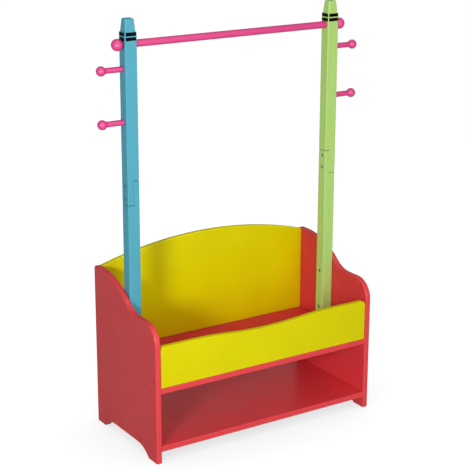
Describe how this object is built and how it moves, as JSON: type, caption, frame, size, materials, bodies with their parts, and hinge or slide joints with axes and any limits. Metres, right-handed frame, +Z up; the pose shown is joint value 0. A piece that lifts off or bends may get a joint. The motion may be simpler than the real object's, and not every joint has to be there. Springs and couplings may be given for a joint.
{
  "type": "children's clothes rack",
  "caption": "Open children's clothes rack: crayon-shaped posts with a hanging rail and pegs, standing in a toy box with a scooped front panel and a shelf below.",
  "frame": {"origin": "on the floor, under the middle of the base", "axes": "+X to the right seen from the front, +Y to the back, +Z up"},
  "size_m": [0.758, 0.313, 1.071],
  "materials": {
    "red_board": "satin lacquered board",
    "yellow_board": "satin lacquered board",
    "blue_wood": "satin lacquered wood",
    "green_wood": "satin lacquered wood",
    "pink_wood": "gloss lacquered wood",
    "black_film": "satin film",
    "steel": "zinc plated",
    "insert_brass": "plain"
  },
  "bodies": {
    "root": {"left_side_panel": "red_board", "right_side_panel": "red_board", "box_floor": "red_board", "bottom_shelf": "red_board", "front_panel": "yellow_board", "back_panel": "yellow_board", "left_post_lower": "blue_wood", "left_post_upper": "blue_wood", "right_post_lower": "green_wood", "right_post_upper": "green_wood", "hanging_rail": "pink_wood", "left_rail_knob": "pink_wood", "right_rail_knob": "pink_wood", "left_upper_peg": "pink_wood", "left_lower_peg": "pink_wood", "right_upper_peg": "pink_wood", "right_lower_peg": "pink_wood", "left_post_bands": "black_film", "right_post_bands": "black_film", "left_panel_screws": "steel", "right_panel_screws": "steel", "lap_bolts": "steel", "lap_sleeve_nuts": "steel", "post_bolts": "steel", "rail_studs": "steel", "peg_studs": "steel", "panel_inserts": "insert_brass"}
  },
  "joints": []
}
